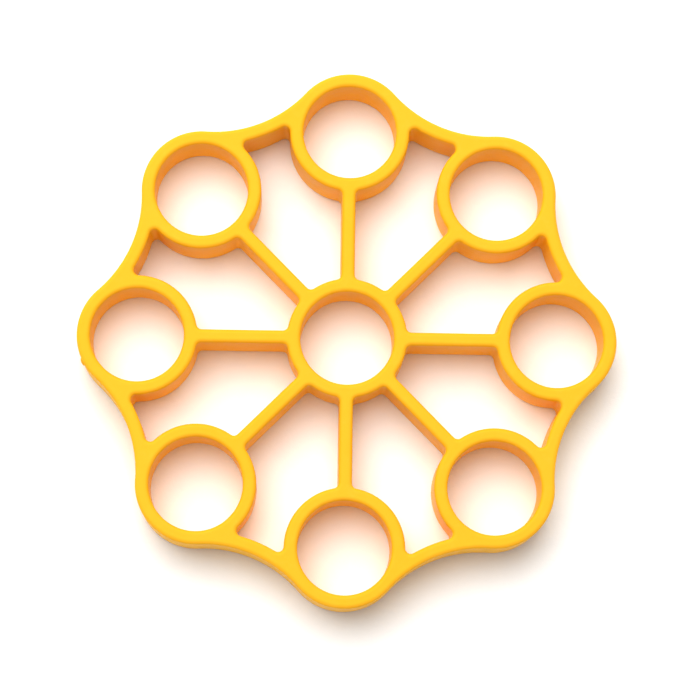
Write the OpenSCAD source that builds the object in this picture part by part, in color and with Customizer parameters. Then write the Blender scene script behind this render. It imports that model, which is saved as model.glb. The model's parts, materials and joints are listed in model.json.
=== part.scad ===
// Multi-loop juggling ring: eight finger rings round a hub ring.
// Spokes tie the finger rings to the hub and short curved webs tie them to each other.
// It is one soft moulding, and each node is one region of it that meets its neighbours face to face.
// Origin: centre of the underside. +Z up, with the first finger ring along +X.

/* [Overall] */
// Diameter over the outermost points of two opposite finger rings
overall_d = 100; // [94:1:106]
// Height of every wall
wall_h = 12; // [6:0.5:20]
// Thickness of every wall
wall = 2.5; // [2:0.1:3]

/* [Rings and rim] */
// Diameter of the hub hole and of the eight finger holes
hole_d = 17.3; // [16:0.1:18]
// Radius of the hollow arc that the rim makes between two finger rings
hollow_r = 23.4; // [20:0.1:28]

/* [Rounding] */
// Radius where a spoke runs into a ring
root_round = 1; // [0.8:0.1:2.5]
// Radius in the corner where a rim web runs into a ring
corner_round = 1; // [0.8:0.1:1.5]
// Radius round both mouths of every hole
mouth_round = 0.7; // [0.3:0.1:0.9]

/* [Hidden] */
$fn = 96;
LOOPS = 8;

moulding_colour = "#fdd038";

// How far a cutting tool reaches past the surface that it trims
past = 0.5;
// How far a rounding bites into the curved wall beside it, so that the two faces cross cleanly
bite = 0.002;
// Angle from one finger ring to the next
pitch_a = 360 / LOOPS;
hole_r = hole_d / 2;
ring_r = hole_r + wall;
pitch_r = overall_d / 2 - ring_r;

// Plan points for the finger ring that lies along +X; its other side is a mirror image.
// Centre of the ring
ring_c = [pitch_r, 0];
// Centre of the hollow rim arc, which touches this ring and the next one
hollow_d = pitch_r * cos(pitch_a / 2)
    + sqrt(pow(hollow_r + ring_r, 2) - pow(pitch_r * sin(pitch_a / 2), 2));
hollow_c = hollow_d * [cos(pitch_a / 2), sin(pitch_a / 2)];
// Centre of the corner rounding, which touches the ring and the web's inner side
corner_c = crossing(
    ring_c, ring_r + corner_round - bite, hollow_c, hollow_r + wall + corner_round - bite
);
// Centres of the roundings at the spoke's two roots
root_x = sqrt(pow(ring_r + root_round - bite, 2) - pow(wall / 2 + root_round, 2));
hub_root_c = [root_x, wall / 2 + root_round];
ring_root_c = [pitch_r - root_x, wall / 2 + root_round];

// A spoke node is the plain bar between the two roots, and a root keeps this length of it
root_land = 1;
spoke_x0 = root_x + root_land;
spoke_x1 = pitch_r - root_x - root_land;

// Headings from the hollow arc's centre to the corner rounding's centre and to the hub
corner_a = heading(hollow_c, corner_c);
axis_a = 180 + pitch_a / 2;
// A rim web node is the plain curved wall between two rays from the hollow arc's centre.
// A ray passes the finger ring with this clearance, and stays a degree off the corner rounding.
ring_clear = 0.2;
web_end_a = min(
    corner_a - 1,
    heading(hollow_c, ring_c) - asin((ring_r + ring_clear) / (hollow_r + ring_r))
);

// Where two circles cross, on the left of the line from a to b
function crossing(a, ra, b, rb) =
    let (
        along = (b - a) / norm(b - a),
        u = (pow(norm(b - a), 2) + ra * ra - rb * rb) / (2 * norm(b - a)),
        v = sqrt(ra * ra - u * u)
    )
    a + u * along + v * [-along[1], along[0]];

// Compass heading from one plan point to another, from 0 to 360
function heading(from, to) =
    let (a = atan2(to[1] - from[1], to[0] - from[0]))
    a < 0 ? a + 360 : a;

// Point at a distance and a heading from another
function away(c, r, a) = c + r * [cos(a), sin(a)];

// Both sides of the centre line through a spoke and its ring
module both_sides() {
    children();
    mirror([0, 1, 0]) children();
}

// Hole through the whole height, with both mouths rounded over
module hole(c) {
    translate([c[0], c[1], 0])
        rotate_extrude()
            difference() {
                translate([0, -past])
                    square([hole_r + mouth_round, wall_h + 2 * past]);
                translate([hole_r, mouth_round])
                    square([2 * mouth_round, wall_h - 2 * mouth_round]);
                translate([hole_r + mouth_round, mouth_round])
                    circle(mouth_round);
                translate([hole_r + mouth_round, wall_h - mouth_round])
                    circle(mouth_round);
            }
}

// A spoke's root on the ring at c: two wedges hollowed by the roundings, and the spoke's first part
module root_plan(c, root_c, end_x) {
    in_wall = away(c, hole_r + wall / 2, heading(c, root_c));
    difference() {
        polygon([
            in_wall, root_c, [root_c[0], wall / 2], [end_x, wall / 2],
            [end_x, -wall / 2], [root_c[0], -wall / 2], [root_c[0], -root_c[1]],
            [in_wall[0], -in_wall[1]]
        ]);
        both_sides()
            translate(root_c) circle(root_round);
    }
}

// A web's shoulder on the ring: a wedge hollowed by the rim arc and by the corner rounding,
// and the first part of the web
module shoulder_plan() {
    difference() {
        polygon([
            ring_c, hollow_c, away(hollow_c, hollow_r + wall, web_end_a),
            away(hollow_c, hollow_r + wall, corner_a), corner_c
        ]);
        translate(hollow_c) circle(hollow_r);
        translate(corner_c) circle(corner_round);
    }
}

// The curved wall between the two rays
module rim_web_plan() {
    far = hollow_r + 2 * wall;
    intersection() {
        polygon([hollow_c, away(hollow_c, far, web_end_a), away(hollow_c, far, 2 * axis_a - web_end_a)]);
        difference() {
            translate(hollow_c) circle(hollow_r + wall);
            translate(hollow_c) circle(hollow_r);
        }
    }
}

// Hub ring: a round wall with the root of each spoke on it
module hub_ring() {
    color(moulding_colour)
    difference() {
        union() {
            cylinder(h = wall_h, r = ring_r);
            for (i = [0:LOOPS - 1])
                linear_extrude(wall_h)
                    rotate(i * pitch_a) root_plan([0, 0], hub_root_c, spoke_x0);
        }
        hole([0, 0]);
    }
}

// Finger ring: a round wall with a web shoulder on each side and the root of its spoke
module finger_ring() {
    color(moulding_colour)
    difference() {
        union() {
            translate(ring_c)
                cylinder(h = wall_h, r = ring_r);
            both_sides()
                linear_extrude(wall_h) shoulder_plan();
            linear_extrude(wall_h) root_plan(ring_c, ring_root_c, spoke_x1);
        }
        hole(ring_c);
    }
}

// Spoke: the plain bar between the two roots
module spoke() {
    color(moulding_colour)
    translate([spoke_x0, -wall / 2, 0])
        cube([spoke_x1 - spoke_x0, wall, wall_h]);
}

// Rim web: the curved wall between two finger rings' shoulders
module rim_web() {
    color(moulding_colour)
    linear_extrude(wall_h) rim_web_plan();
}

hub_ring();
for (i = [1:LOOPS])
    rotate([0, 0, (i - 1) * pitch_a]) {
        finger_ring();
        spoke();
        rim_web();
    }
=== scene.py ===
# %% [markdown]
# # A multi-loop juggling ring
#
# The real thing is one soft rubber moulding: a hub ring, eight finger rings round it,
# a spoke to each and a short curved web between neighbours. Every wall is a strip of the
# same thickness and height, stood on edge, with its edges rounded by the mould.
#
# This lesson draws the outlines once, skins them into the whole moulding, and then cuts
# the moulding into its named regions, so that every region meets the next one exactly.

import json
import math

import bmesh
import bpy
from mathutils import Matrix, Vector


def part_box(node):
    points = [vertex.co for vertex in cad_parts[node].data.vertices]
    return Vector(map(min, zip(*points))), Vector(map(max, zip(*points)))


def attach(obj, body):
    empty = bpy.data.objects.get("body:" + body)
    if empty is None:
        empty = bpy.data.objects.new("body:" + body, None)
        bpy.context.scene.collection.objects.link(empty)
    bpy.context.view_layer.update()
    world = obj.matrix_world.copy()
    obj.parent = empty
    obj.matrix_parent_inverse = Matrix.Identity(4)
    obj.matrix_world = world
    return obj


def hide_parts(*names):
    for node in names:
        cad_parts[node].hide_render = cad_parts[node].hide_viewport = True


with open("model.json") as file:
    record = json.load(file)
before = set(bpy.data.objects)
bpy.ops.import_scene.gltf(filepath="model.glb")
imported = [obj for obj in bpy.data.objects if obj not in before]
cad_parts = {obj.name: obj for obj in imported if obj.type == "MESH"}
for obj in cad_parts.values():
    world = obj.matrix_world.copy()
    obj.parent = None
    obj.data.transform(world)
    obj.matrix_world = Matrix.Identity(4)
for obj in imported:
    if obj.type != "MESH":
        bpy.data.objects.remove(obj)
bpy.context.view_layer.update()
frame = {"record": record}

# %% [markdown]
# ## Driving sizes
#
# The frame already knows how big the ring is. The holes are mounts, so their radius and
# their places are read from the record, and the wall is what is left between a hole and
# the outermost point of its ring. Reading them keeps the look in step with the frame when
# a size changes there. Only the blending radii, which no mount states, are written here.

# %% Read the sizes that the frame holds
mounts = {mount["name"]: mount for mount in frame["record"]["mounts"]}
loops = sum(name.startswith("finger_hole_") for name in mounts)
hole_r = mounts["hub_hole"]["dims"]["r_mm"] / 1000
pitch_r = mounts["finger_hole_1"]["pos_m"][0]
ring_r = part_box("finger_ring_1")[1].x - pitch_r
wall = ring_r - hole_r
wall_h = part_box("finger_ring_1")[1].z
spoke_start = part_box("spoke_1")[0].x
spoke_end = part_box("spoke_1")[1].x
pitch_angle = 2 * math.pi / loops
print(f"{loops} rings, holes {2000 * hole_r:.1f} mm, walls {1000 * wall:.2f} mm")

# %% Blending radii, in metres
hollow_r = 0.0234  # the rim's hollow arc between two rings
root_round = 0.0010  # where a spoke runs into a ring
corner_round = 0.0010  # where a web runs into a ring
edge_round = 0.0008  # along the top and bottom edges
ring_clear = 0.0002  # how far the seam of a web passes from the ring
print(f"roundings of {1000 * root_round:.1f} mm in plan and {1000 * edge_round:.1f} mm on edges")

# %% [markdown]
# ## The plan's geometry
#
# The plan is made of arcs that touch each other, as a draughtsman would draw it. Each
# arc needs a centre. A centre that touches two circles lies where two bigger circles
# cross, so one small function finds them all.


# %% Find where two circles cross
def crossing(a, radius_a, b, radius_b):
    """The crossing of two circles that lies on the left of the line from a to b."""
    apart = b - a
    along = (apart.length_squared + radius_a**2 - radius_b**2) / (2 * apart.length)
    across = math.sqrt(radius_a**2 - along**2)
    unit = apart.normalized()
    return a + along * unit + across * Vector((-unit.y, unit.x, 0))


def heading(start, end):
    """Direction from one point to another, from 0 to a full turn."""
    return math.atan2(end.y - start.y, end.x - start.x) % (2 * math.pi)


# %% Place the arc centres of the first ring and half of each gap beside it
hub = Vector((0, 0, 0))
ring = Vector((pitch_r, 0, 0))
half_gap = pitch_angle / 2
hollow_distance = pitch_r * math.cos(half_gap) + math.sqrt(
    (hollow_r + ring_r) ** 2 - (pitch_r * math.sin(half_gap)) ** 2
)
hollow = hollow_distance * Vector((math.cos(half_gap), math.sin(half_gap), 0))
corner = crossing(ring, ring_r + corner_round, hollow, hollow_r + wall + corner_round)
root_y = wall / 2 + root_round
root_x = math.sqrt((ring_r + root_round) ** 2 - root_y**2)
hub_root = Vector((root_x, root_y, 0))
ring_root = Vector((pitch_r - root_x, root_y, 0))
print(f"rim arcs are centred {1000 * hollow_distance:.1f} mm out")

# %% [markdown]
# ## Drawing an outline with a pen
#
# A pen that swings about a centre draws an arc: `bmesh.ops.spin` on one vertex does just
# that. Each vertex also remembers the direction that leads into the wall. Later the edge
# rounding only has to slide the points that way, and arcs stay arcs.

# %% Start the drawing
mesh_step = 0.0004  # longest chord along an arc, in metres
weld = 0.000002  # points closer than this are one point
drawing = bmesh.new()
into_wall = drawing.verts.layers.float_vector.new("into_wall")
print(f"arcs are drawn in steps of up to {1000 * mesh_step} mm")


def pen_at(point):
    """A new pen, down at a point."""
    return drawing.verts.new(point)


def swing(pen, centre, turn, wall_outside):
    """Swings the pen about a centre and gives back the pen at the arc's end."""
    radius = (pen.co - centre).length
    steps = 2 * math.ceil(radius * abs(turn) / mesh_step / 2)
    made = len(drawing.verts)
    drawn = bmesh.ops.spin(
        drawing, geom=[pen], cent=centre, axis=(0, 0, 1), angle=turn, steps=steps
    )
    drawing.verts.ensure_lookup_table()
    for point in [pen, *drawing.verts[made:]]:
        outward = (point.co - centre).normalized()
        point[into_wall] = outward if wall_outside else -outward
    return drawn["geom_last"][0]


def rule(pen, point):
    """Draws a straight line and gives back the pen at its end."""
    end = drawing.verts.new(point)
    drawing.edges.new((pen, end))
    return end


# %% [markdown]
# ## The three kinds of outline
#
# The holes are circles. A window between two spokes is a closed chain of arcs and two
# straight spoke sides. The rim is a chain of ring arcs and hollow arcs. A half of the
# window and a half of the rim's gap are enough: the rest is turning the paper.


# %% Sweep angles of the arcs
def turn_between(centre, start, end):
    """Shortest signed turn about a centre from one point's direction to another's."""
    turn = heading(centre, end) - heading(centre, start)
    return (turn + math.pi) % (2 * math.pi) - math.pi


gap_middle = Vector((math.cos(half_gap), math.sin(half_gap), 0))
turns = {
    "hub wall": turn_between(hub, gap_middle, hub_root),
    "hub root": turn_between(hub_root, hub, hub_root - Vector((0, 1, 0))),
    "ring root": turn_between(ring_root, ring_root - Vector((0, 1, 0)), ring),
    "ring wall": turn_between(ring, ring_root, corner),
    "corner": turn_between(corner, ring, hollow),
    "web wall": turn_between(hollow, corner, hub),
    "rim": turn_between(ring, ring + Vector((1, 0, 0)), hollow),
    "hollow": turn_between(hollow, ring, hub),
}
print({name: round(math.degrees(turn), 1) for name, turn in turns.items()})


# %% Draw the outlines
def turned(point, angle):
    """The point, turned about the ring's middle."""
    return Matrix.Rotation(angle, 3, "Z") @ point


def mirrored(point):
    """The point's mirror image in the middle line of the first gap."""
    flipped = Vector((point.x, -point.y, 0))
    return turned(flipped, pitch_angle)


def draw_hole(centre):
    """A full circle, with the wall outside it."""
    pen = pen_at(centre + Vector((hole_r, 0, 0)))
    swing(pen, centre, 2 * math.pi, wall_outside=True)


def draw_window(angle):
    """The outline of one gap between two spokes, once round."""

    def at(point):
        return turned(point, angle)

    pen = pen_at(at(ring_r * gap_middle))
    pen = swing(pen, hub, turns["hub wall"], wall_outside=False)
    pen = swing(pen, at(hub_root), turns["hub root"], wall_outside=True)
    pen = rule(pen, at(Vector((ring_root.x, wall / 2, 0))))
    pen = swing(pen, at(ring_root), turns["ring root"], wall_outside=True)
    pen = swing(pen, at(ring), turns["ring wall"], wall_outside=False)
    pen = swing(pen, at(corner), turns["corner"], wall_outside=True)
    pen = swing(pen, at(hollow), 2 * turns["web wall"], wall_outside=False)
    pen = swing(pen, at(mirrored(corner)), turns["corner"], wall_outside=True)
    pen = swing(pen, at(mirrored(ring)), turns["ring wall"], wall_outside=False)
    pen = swing(pen, at(mirrored(ring_root)), turns["ring root"], wall_outside=True)
    pen = rule(pen, at(mirrored(Vector((root_x, wall / 2, 0)))))
    pen = swing(pen, at(mirrored(hub_root)), turns["hub root"], wall_outside=True)
    swing(pen, hub, turns["hub wall"], wall_outside=False)


def draw_rim():
    """The scalloped outline, one ring arc and one hollow arc after another."""
    pen = pen_at(ring + ring_r * (turned(Vector((1, 0, 0)), -turns["rim"])))
    for k in range(loops):
        angle = k * pitch_angle
        pen = swing(pen, turned(ring, angle), 2 * turns["rim"], wall_outside=False)
        pen = swing(pen, turned(hollow, angle), 2 * turns["hollow"], wall_outside=True)


draw_hole(hub)
for k in range(loops):
    draw_hole(turned(ring, k * pitch_angle))
    draw_window(k * pitch_angle)
draw_rim()
bmesh.ops.remove_doubles(drawing, verts=drawing.verts, dist=weld)
print("outline points:", len(drawing.verts), "edges:", len(drawing.edges))

# %% [markdown]
# ## Skinning the outlines
#
# The outlines are extruded level by level. On a rounded edge each level is both higher
# and a little further out of the wall, along a quarter circle. One more level lies flat
# on each face, just inside the rounding: it keeps the smooth shading of the rounding
# off the flat face, as a holding loop does in a model made by hand.

# %% Levels of the wall: how far into the wall, and how high
edge_steps = 7  # facets round each edge
hold = 0.00012  # width of the flat strip beside each rounding
quarter = [k * math.pi / 2 / edge_steps for k in range(edge_steps + 1)]
lower_edge = [
    (edge_round * (1 - math.sin(a)), edge_round * (1 - math.cos(a))) for a in quarter
]
levels = [(edge_round + hold, 0.0), *lower_edge]
levels += [(inset, wall_h - height) for inset, height in reversed(levels)]
print(len(levels), "levels")


# %% Skin the walls and close the two faces
def slide(points, inset, height):
    """Moves points into the wall and up."""
    for point in points:
        point.co += inset * point[into_wall]
        point.co.z += height


ring_of_edges = drawing.edges[:]
first_edges = ring_of_edges
slide(drawing.verts, *levels[0])
for (inset, height), (next_inset, next_height) in zip(levels, levels[1:]):
    grown = bmesh.ops.extrude_edge_only(drawing, edges=ring_of_edges)["geom"]
    new_points = [g for g in grown if isinstance(g, bmesh.types.BMVert)]
    ring_of_edges = [g for g in grown if isinstance(g, bmesh.types.BMEdge)]
    slide(new_points, next_inset - inset, next_height - height)
for edges in (first_edges, ring_of_edges):
    bmesh.ops.triangle_fill(drawing, use_beauty=True, edges=edges, normal=(0, 0, 1))
bmesh.ops.recalc_face_normals(drawing, faces=drawing.faces)
open_edges = sum(not edge.is_manifold for edge in drawing.edges)
print(f"{len(drawing.faces)} faces, {open_edges} open edges")
for face in drawing.faces:
    face.smooth = True

# %% [markdown]
# ## Cutting out the regions
#
# The real ring has no seams. Its regions meet at planes: across each spoke at both ends,
# and across each web where it leaves a ring. Cutting the finished moulding at those
# planes, rather than modelling each region alone, makes neighbours share one section.
# The cut edges are marked sharp, so the shading runs on unbroken from piece to piece.


# %% A cutter that keeps what is inside a set of planes
on_plane = 0.0000002  # points closer to a plane than this lie on it


def cut_out(planes):
    """A closed copy of what every plane leaves, with its cut edges marked sharp."""
    region = drawing.copy()
    for point, outward in planes:
        bmesh.ops.bisect_plane(
            region,
            geom=[*region.verts, *region.edges, *region.faces],
            dist=on_plane,
            plane_co=point,
            plane_no=outward,
            clear_outer=True,
        )
    section = [edge for edge in region.edges if edge.is_boundary]
    bmesh.ops.edgeloop_fill(region, edges=section)
    for edge in section:
        edge.smooth = False
    return region


# %% Planes between the regions
def straight_cut(angle, distance, side):
    """A plane square to a spoke: side 1 clears what is further out, -1 the rest."""
    direction = turned(Vector((1, 0, 0)), angle)
    return distance * direction, side * direction


def ray_cut(centre, angle, side):
    """A plane through a hollow's axis: side 1 clears what is left of the ray."""
    return centre, side * Vector((-math.sin(angle), math.cos(angle), 0))


# The web's seam keeps a degree off the corner rounding and also passes clear of the ring.
off_corner = math.radians(1)
past_ring = math.asin((ring_r + ring_clear) / (hollow_r + ring_r))
ring_side_ray = min(
    heading(hollow, corner) - off_corner,
    heading(hollow, ring) - past_ring,
)
web_axis = math.pi + half_gap
far_ray = 2 * web_axis - ring_side_ray
lower_hollow = Vector((hollow.x, -hollow.y, 0))

# A spoke's two planes also cut the rings beyond it, and two rays through a web reach the
# hub, so these planes on either side and on the inside keep each cut to its own region.
beside_spoke = 2 * wall
past_web = hollow_distance - hollow_r - 2 * wall
cuts = {
    "hub_ring": [straight_cut(k * pitch_angle, spoke_start, 1) for k in range(loops)],
    "finger_ring": [
        straight_cut(0, spoke_end, -1),
        ray_cut(hollow, ring_side_ray, -1),
        ray_cut(lower_hollow, -ring_side_ray, 1),
    ],
    "spoke": [
        straight_cut(0, spoke_start, -1),
        straight_cut(0, spoke_end, 1),
        straight_cut(math.pi / 2, beside_spoke, 1),
        straight_cut(-math.pi / 2, beside_spoke, 1),
    ],
    "rim_web": [
        ray_cut(hollow, ring_side_ray, 1),
        ray_cut(hollow, far_ray, -1),
        straight_cut(half_gap, past_web, -1),
    ],
}
regions = {kind: cut_out(planes) for kind, planes in cuts.items()}
for kind, region in regions.items():
    gaps = sum(not edge.is_manifold for edge in region.edges)
    print(f"{kind}: {region.calc_volume() * 1e9:.1f} mm3, {len(region.faces)} faces, {gaps} gaps")

# %% [markdown]
# ## The look of soft moulded rubber
#
# Pigmented silicone is never quite one colour. The flat faces catch the light and look
# a clear warm yellow, while light that enters the walls travels further and comes out
# deeper and more orange. The mould leaves an even satin grain, and handling leaves
# slightly duller patches and a trace of dust. Each of these is a small noise with its
# own size, and all the sizes are real ones, in metres.
#
# Subsurface scattering could give the walls their depth, but it darkens the seams where
# two closed pieces meet. So the light that travels through the walls is painted into their
# colour instead, as a painted deeper orange, and the direction that a face looks in tells
# the walls from the flat faces. The sheen is low and warm, because soft rubber mirrors
# little of the room round it.


# %% Small helpers for wiring nodes
def feed(tree, socket, given):
    """Gives a socket either a link or a plain value."""
    if isinstance(given, bpy.types.NodeSocket):
        tree.links.new(given, socket)
    else:
        socket.default_value = given


def noise(tree, coordinates, feature, detail, roughness=0.5):
    """A noise whose blotches are about one feature size across, in metres."""
    made = tree.nodes.new("ShaderNodeTexNoise")
    made.inputs["Scale"].default_value = 1 / feature
    made.inputs["Detail"].default_value = detail
    made.inputs["Roughness"].default_value = roughness
    tree.links.new(coordinates, made.inputs["Vector"])
    return made.outputs["Fac"]


def spread(tree, value, low, high, from_low=0.3, from_high=0.7):
    """Maps the useful middle of a noise onto a range."""
    made = tree.nodes.new("ShaderNodeMapRange")
    made.inputs["From Min"].default_value = from_low
    made.inputs["From Max"].default_value = from_high
    made.inputs["To Min"].default_value = low
    made.inputs["To Max"].default_value = high
    tree.links.new(value, made.inputs["Value"])
    return made.outputs["Result"]


def blend_colour(tree, factor, first, second):
    """Blends two colours, each of them a socket or a plain colour."""
    made = tree.nodes.new("ShaderNodeMix")
    made.data_type = "RGBA"
    for label, given in (("Factor", factor), ("A", first), ("B", second)):
        socket = [s for s in made.inputs if s.name == label and s.enabled][0]
        feed(tree, socket, given)
    return [s for s in made.outputs if s.enabled][0]


def calculate(tree, operation, first, second):
    """One sum on two numbers, each of them a socket or a plain number."""
    made = tree.nodes.new("ShaderNodeMath")
    made.operation = operation
    feed(tree, made.inputs[0], first)
    feed(tree, made.inputs[1], second)
    return made.outputs["Value"]


# %% A node group with the grain that every matt surface here shares
pore_size = 0.00022
pore_depth = 0.000024
ripple_size = 0.0035
ripple_depth = 0.00012
patch_size = 0.009

grain = bpy.data.node_groups.new("fine_grain", "ShaderNodeTree")
for label, direction in (("Roughness", "INPUT"), ("Roughness", "OUTPUT"), ("Height", "OUTPUT")):
    grain.interface.new_socket(label, in_out=direction, socket_type="NodeSocketFloat")
grain_in = grain.nodes.new("NodeGroupInput")
grain_out = grain.nodes.new("NodeGroupOutput")
place = grain.nodes.new("ShaderNodeTexCoord").outputs["Object"]
pores = noise(grain, place, pore_size, 2)
ripples = noise(grain, place, ripple_size, 3)
handled = spread(grain, noise(grain, place, patch_size, 4), -0.05, 0.06)
speckle = spread(grain, pores, -0.04, 0.04)
rougher = calculate(grain, "ADD", handled, speckle)
rougher = calculate(grain, "ADD", rougher, grain_in.outputs["Roughness"])
fine = calculate(grain, "MULTIPLY", pores, pore_depth)
broad = calculate(grain, "MULTIPLY", ripples, ripple_depth)
grain.links.new(rougher, grain_out.inputs["Roughness"])
grain.links.new(calculate(grain, "ADD", fine, broad), grain_out.inputs["Height"])
print("the grain group has", len(grain.nodes), "nodes")


# %% A material that is ready-wired to the shared grain
def new_material(name, roughness):
    """A material with a Principled shader, its node tree and the shader."""
    made = bpy.data.materials.new(name)
    made.use_nodes = True
    tree = made.node_tree
    shader = tree.nodes["Principled BSDF"]
    surface = tree.nodes.new("ShaderNodeGroup")
    surface.node_tree = grain
    surface.inputs["Roughness"].default_value = roughness
    bump = tree.nodes.new("ShaderNodeBump")
    bump.inputs["Distance"].default_value = 1.0
    tree.links.new(surface.outputs["Height"], bump.inputs["Height"])
    tree.links.new(surface.outputs["Roughness"], shader.inputs["Roughness"])
    tree.links.new(bump.outputs["Normal"], shader.inputs["Normal"])
    return made, tree, shader


rubber, tree, shader = new_material("soft_moulded_rubber", 0.42)
shader.inputs["IOR"].default_value = 1.42
shader.inputs["Specular IOR Level"].default_value = 0.12
shader.inputs["Specular Tint"].default_value = (1, 0.68, 0.15, 1)
print("made the material", rubber.name)

# %% Mix the rubber's colour: flat faces and walls with painted depth, then blotches, pigment and dust
face_colour = (0.93, 0.42, 0.021, 1)
# The walls' deeper orange is painted light: it stands in for light glowing through the rubber.
painted_depth_wall_colour = (0.95, 0.48, 0.002, 1)
blotch_colour = (0.90, 0.37, 0.006, 1)
pigment_colour = (0.95, 0.48, 0.03, 1)
dust_colour = (0.95, 0.62, 0.13, 1)

place = tree.nodes.new("ShaderNodeTexCoord").outputs["Object"]
facing = tree.nodes.new("ShaderNodeNewGeometry").outputs["Normal"]
split = tree.nodes.new("ShaderNodeSeparateXYZ")
tree.links.new(facing, split.inputs["Vector"])
flatness = calculate(tree, "ABSOLUTE", split.outputs["Z"], 0.0)
# Faces that look sideways get the painted wall depth, and flat faces keep the face colour.
painted_depth_share = spread(tree, flatness, 1.0, 0.0, 0.1, 0.95)
body = blend_colour(tree, painted_depth_share, face_colour, painted_depth_wall_colour)
blotches = spread(tree, noise(tree, place, 0.016, 3), 0.0, 0.22)
body = blend_colour(tree, blotches, body, blotch_colour)
pigment = spread(tree, noise(tree, place, 0.0011, 4, 0.6), 0.0, 0.10)
body = blend_colour(tree, pigment, body, pigment_colour)
dust = spread(tree, noise(tree, place, 0.0024, 5, 0.7), 0.0, 0.06, 0.52, 0.75)
body = blend_colour(tree, dust, body, dust_colour)
tree.links.new(body, shader.inputs["Base Color"])
print("the rubber's colour is mixed by", len(tree.nodes), "nodes")

# %% [markdown]
# ## Placing the pieces
#
# One finger ring, one spoke and one web were cut. The other seven of each are the same
# mesh turned about the middle, one pitch at a time. The turn goes into the mesh itself,
# so every object keeps a clean transform at the origin.


# %% Make the pieces
def add_piece(kind, name, angle):
    """A region of the moulding, turned about the middle and given its material."""
    mesh = bpy.data.meshes.new(name)
    regions[kind].to_mesh(mesh)
    mesh.transform(Matrix.Rotation(angle, 4, "Z"))
    mesh.materials.append(rubber)
    piece = bpy.data.objects.new(name, mesh)
    bpy.context.scene.collection.objects.link(piece)
    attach(piece, "root")
    return piece


pieces = [add_piece("hub_ring", "hub_ring_moulded", 0)]
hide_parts("hub_ring")
for k in range(loops):
    for kind in ("finger_ring", "spoke", "rim_web"):
        node_name = f"{kind}_{k + 1}"
        pieces.append(add_piece(kind, node_name + "_moulded", k * pitch_angle))
        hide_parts(node_name)
print(len(pieces), "pieces,", sum(len(p.data.polygons) for p in pieces), "faces")

# %% [markdown]
# ## The gate mark
#
# Rubber enters the mould through a small gate, and when the moulding is snapped off it
# a low pip stays behind on the rim, here on the fifth finger ring. A quarter of an oval
# is drawn and spun once round. Its foot is sunk in the wall, so no gap can show. A
# boolean would join the two, but it would also cut up the rim's even faces.

# %% Make the gate mark
gate_r = 0.0008  # radius of the pip's foot
gate_rise = 0.00032  # how far it stands out, and how far its foot is sunk
gate_turn = math.radians(23.6)  # its place round the finger ring
pip = bmesh.new()
curve_steps = 6
curve = [k * math.pi / 2 / curve_steps for k in range(curve_steps + 1)]
points = [pip.verts.new((gate_rise * math.cos(a), gate_r * math.sin(a), 0)) for a in curve]
points.append(pip.verts.new((-gate_rise, gate_r, 0)))
points.append(pip.verts.new((-gate_rise, 0, 0)))
outline = [pip.edges.new(pair) for pair in zip(points, points[1:])]
bmesh.ops.spin(
    pip,
    geom=[*points, *outline],
    cent=(0, 0, 0),
    axis=(1, 0, 0),
    angle=2 * math.pi,
    steps=32,
    use_merge=True,
)
bmesh.ops.remove_doubles(pip, verts=pip.verts, dist=weld)
bmesh.ops.recalc_face_normals(pip, faces=pip.faces)
for face in pip.faces:
    face.smooth = True
on_wall = (
    Matrix.Rotation(math.pi, 4, "Z")
    @ Matrix.Translation(ring)
    @ Matrix.Rotation(gate_turn, 4, "Z")
    @ Matrix.Translation((ring_r, 0, wall_h / 2))
)
pip.transform(on_wall)
regions["gate_mark"] = pip
gate_gaps = sum(not edge.is_manifold for edge in pip.edges)
print(f"gate mark: {len(pip.faces)} faces, {gate_gaps} gaps")
gate_mark = add_piece("gate_mark", "gate_mark", 0)

# %% [markdown]
# ## The table
#
# The ring lies flat on a matt white table. Only the table's top shows, so a flat grid is
# enough, where a box would add sides that nobody sees. It is a hair below the ring, so
# that the two never fight for the same place. Its finish shares the rubber's grain, with
# faint fibres in the white.

# %% Make the table top
table_half = 2.0
table_gap = 0.00003
table_mesh = bpy.data.meshes.new("table_top")
table_drawing = bmesh.new()
bmesh.ops.create_grid(table_drawing, x_segments=8, y_segments=8, size=table_half)
bmesh.ops.translate(table_drawing, verts=table_drawing.verts, vec=(0, 0, -table_gap))
table_drawing.to_mesh(table_mesh)
table_top = bpy.data.objects.new("table_top", table_mesh)
bpy.context.scene.collection.objects.link(table_top)
print(f"the table top is {2 * table_half:.0f} m across")

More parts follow.
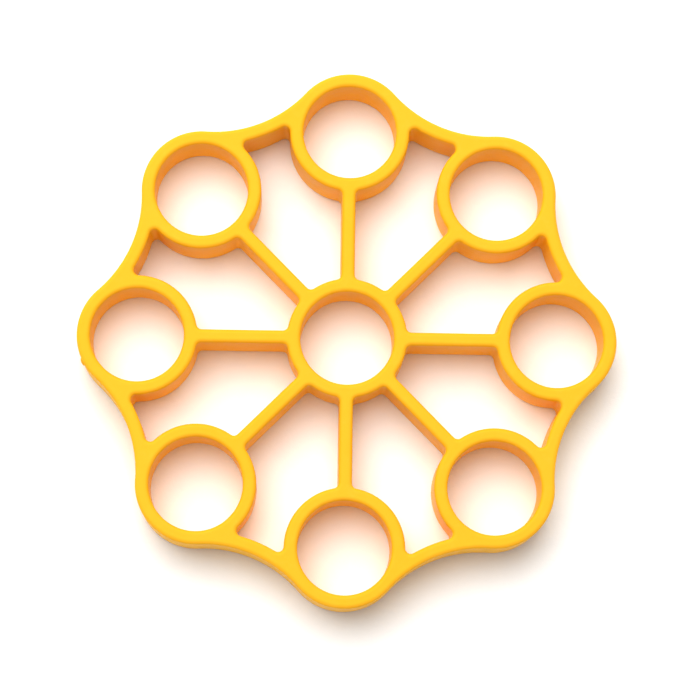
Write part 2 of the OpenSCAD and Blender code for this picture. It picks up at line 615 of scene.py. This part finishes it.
# %% Paint the table top
paper, paper_tree, paper_shader = new_material("matt_white_table", 0.75)
place = paper_tree.nodes.new("ShaderNodeTexCoord").outputs["Object"]
fibres = spread(paper_tree, noise(paper_tree, place, 0.004, 5, 0.65), 0.0, 1.0)
white = blend_colour(paper_tree, fibres, (0.93, 0.93, 0.93, 1), (0.95, 0.95, 0.945, 1))
paper_tree.links.new(white, paper_shader.inputs["Base Color"])
paper_shader.inputs["Specular IOR Level"].default_value = 0.2
table_mesh.materials.append(paper)
print("made the material", paper.name)

# %% [markdown]
# ## Light and camera
#
# Product pictures of this kind are lit by a large soft box, high and to one side, in a
# white room. The room gives most of the light, and the box gives the direction. A sun
# lamp would draw hard shadows, where a wide disk draws soft ones.
#
# The camera looks almost straight down through a long lens, so the rings stay nearly
# round and a little of each wall shows.

# %% Set up the light
room_strength = 0.46
box_position = (-0.127, 0.314, 0.725)
box_size = 0.82
box_power = 9.4

world = bpy.data.worlds.new("white_room")
bpy.context.scene.world = world
world.use_nodes = True
world.node_tree.nodes["Background"].inputs["Color"].default_value = (1, 1, 1, 1)
world.node_tree.nodes["Background"].inputs["Strength"].default_value = room_strength

light = bpy.data.lights.new("soft_box", "AREA")
light.shape = "DISK"
light.size = box_size
light.energy = box_power
soft_box = bpy.data.objects.new("soft_box", light)
soft_box.location = box_position
soft_box.rotation_euler = (-Vector(box_position)).to_track_quat("-Z", "Y").to_euler()
bpy.context.scene.collection.objects.link(soft_box)
print(f"the soft box hangs {box_position[2]:.2f} m above the table")

# %% Set up the camera
camera_data = bpy.data.cameras.new("camera")
camera_data.lens = 149.5  # a long lens, in millimetres, keeps the rings nearly round
camera_data.sensor_width = 36
camera_data.dof.use_dof = False
camera = bpy.data.objects.new("camera", camera_data)
camera.location = (-0.01209, -0.07706, 0.53883)
camera.rotation_mode = "YXZ"
camera.rotation_euler = (0.1416, -0.0250, 0.0165)
bpy.context.scene.collection.objects.link(camera)
bpy.context.scene.camera = camera
bpy.context.scene.view_settings.view_transform = "Standard"
print(f"the camera is {1000 * camera.location.length:.0f} mm from the ring")
